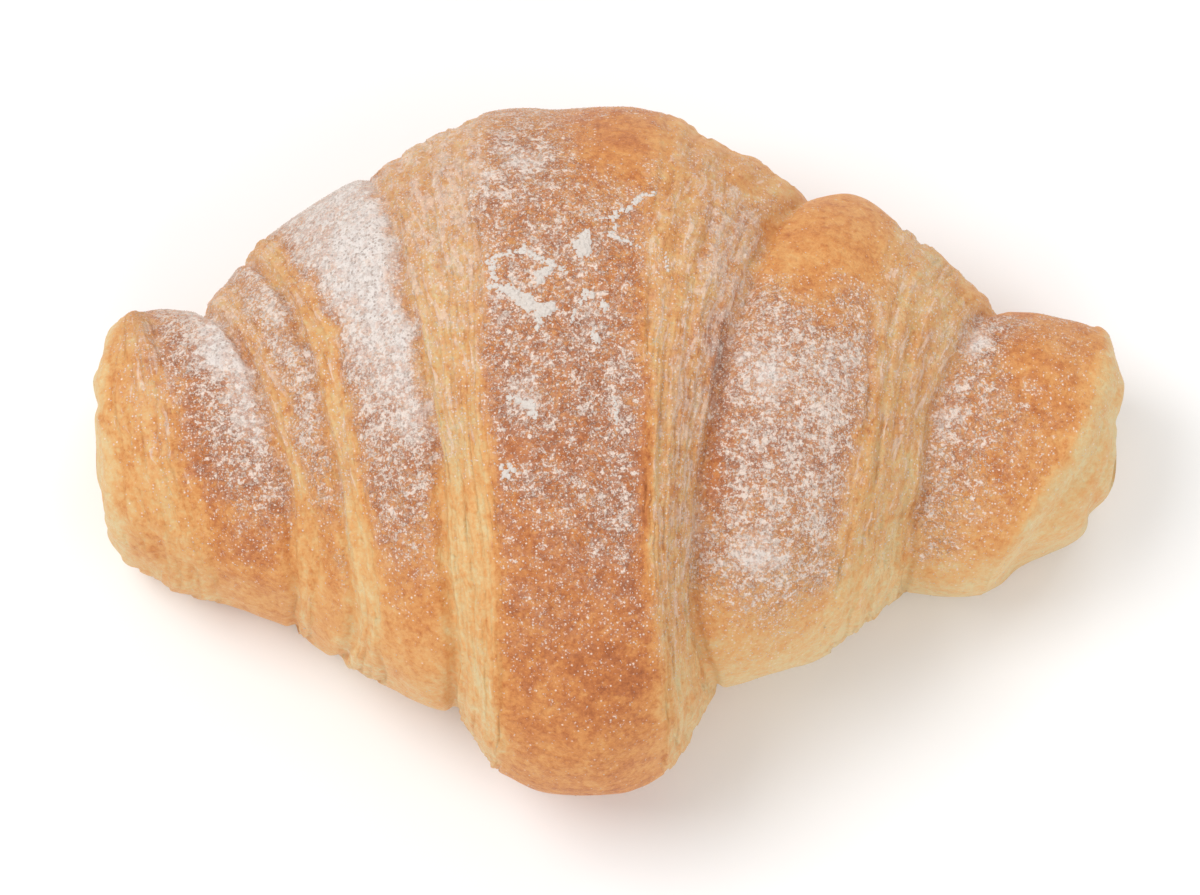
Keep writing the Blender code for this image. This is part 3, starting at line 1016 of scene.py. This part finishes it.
bpy.context.view_layer.update()
camera_at = AIM + CAMERA_DISTANCE * EYE
crumbs = []
chance = np.random.default_rng(CRUMB_SEED)
for stroke in CLUMPS.values():
    for first, last in zip(stroke[:-1], stroke[1:]):
        right, up, wide = first
        to_right, to_up, to_wide = last
        count = max(2, round(math.hypot(to_right - right, to_up - up) / CRUMB_SPACING))
        for number in range(count + 1):
            share = number / count
            size = (1 - share) * wide + share * to_wide
            spread = CRUMB_SPREAD * size
            for _ in range(CRUMBS_ABREAST):
                aside, above, bigger = chance.uniform(-1, 1, 3).tolist()
                seen = AIM + ((1 - share) * up + share * to_up + spread * above) * upwards
                seen[0] += (1 - share) * right + share * to_right + spread * aside
                ray = Vector(seen - camera_at).normalized()
                _, where, normal, _ = crust.ray_cast(Vector(camera_at * MM), ray)
                radius = size * (CRUMB_SIZE + CRUMB_SIZE_RANGE * bigger)
                sunk = where - normal * (CRUMB_SUNK * radius * MM)
                bpy.ops.mesh.primitive_ico_sphere_add(
                    subdivisions=1, radius=radius * MM, location=sunk
                )
                crumbs.append(bpy.context.object)

# The crumbs are joined, merged into one skin, and roughened by a fine cloud.
CLUMP_GRAIN = 0.11
CRUMBLY_SIZE = 0.3
CRUMBLY_HEIGHT = 0.45
bpy.ops.object.select_all(action="DESELECT")
for crumb in crumbs:
    crumb.select_set(True)
bpy.context.view_layer.objects.active = crumbs[0]
bpy.ops.object.join()
clumps = bpy.context.object
clumps.name = "sugar_clumps"
bpy.ops.object.transform_apply(location=True, rotation=True, scale=True)
clumps.data.remesh_voxel_size = CLUMP_GRAIN * MM
bpy.ops.object.voxel_remesh()
crumbly = bpy.data.textures.new("crumbly", "CLOUDS")
crumbly.noise_scale = CRUMBLY_SIZE * MM
bpy.ops.object.modifier_add(type="DISPLACE")
clumps.modifiers[0].texture = crumbly
clumps.modifiers[0].strength = CRUMBLY_HEIGHT * MM
clumps.modifiers[0].mid_level = 0.5
bpy.ops.object.modifier_apply(modifier=clumps.modifiers[0].name)
bpy.ops.object.shade_smooth()
clumps.data.materials.clear()
clumps.data.materials.append(icing_sugar)
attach(clumps, "root")


# The floor, the camera and the light
# A plain pale surface, a long lens looking down at the front of the croissant, and soft light from
# the left with fill all round.

# The sizes and places of the floor and the lamps are in metres, and the lamps' power in watts.
FLOOR_SIZE = 6
FLOOR_COLOUR = (0.95, 0.95, 0.95, 1)
FLOOR_ROUGHNESS = 0.95
CAMERA_LENS = 166.4
CAMERA_SEES_TO = 10
LAMPS = (
    ("key", (-0.50, 0.10, 0.80), 0.60, 5.05),
    ("fill", (0.60, -0.45, 0.60), 0.60, 1.6),
    ("front", (0.0, -0.80, 0.50), 0.60, 1.7),
    ("back", (0.40, 0.70, 0.60), 0.60, 2.2),
)
SKY_COLOUR = (1, 1, 1, 1)
SKY_STRENGTH = 0.50

bpy.ops.object.select_all(action="DESELECT")
bpy.ops.mesh.primitive_plane_add(size=FLOOR_SIZE)
floor = bpy.context.object
floor.name = "floor"
pale_floor = bpy.data.materials.new("pale_floor")
pale_floor.use_nodes = True
pale = pale_floor.node_tree.nodes["Principled BSDF"]
pale.inputs["Base Color"].default_value = FLOOR_COLOUR
pale.inputs["Roughness"].default_value = FLOOR_ROUGHNESS
floor.data.materials.append(pale_floor)


def look_at(target, at):
    """The rotation that points a camera or lamp at a place."""
    return (Vector(at) - Vector(target)).to_track_quat("Z", "Y").to_euler()


bpy.ops.object.camera_add(location=camera_at * MM, rotation=look_at(AIM * MM, camera_at * MM))
camera = bpy.context.object
camera.data.lens = CAMERA_LENS
camera.data.clip_end = CAMERA_SEES_TO
bpy.context.scene.camera = camera

for name, where, size, power in LAMPS:
    bpy.ops.object.light_add(type="AREA", location=where, rotation=look_at((0, 0, 0), where))
    lamp = bpy.context.object
    lamp.name = name
    lamp.data.size = size
    lamp.data.energy = power

sky = bpy.data.worlds.new("soft_sky")
sky.use_nodes = True
sky.node_tree.nodes["Background"].inputs["Color"].default_value = SKY_COLOUR
sky.node_tree.nodes["Background"].inputs["Strength"].default_value = SKY_STRENGTH
bpy.context.scene.world = sky
bpy.context.scene.view_settings.view_transform = "Standard"
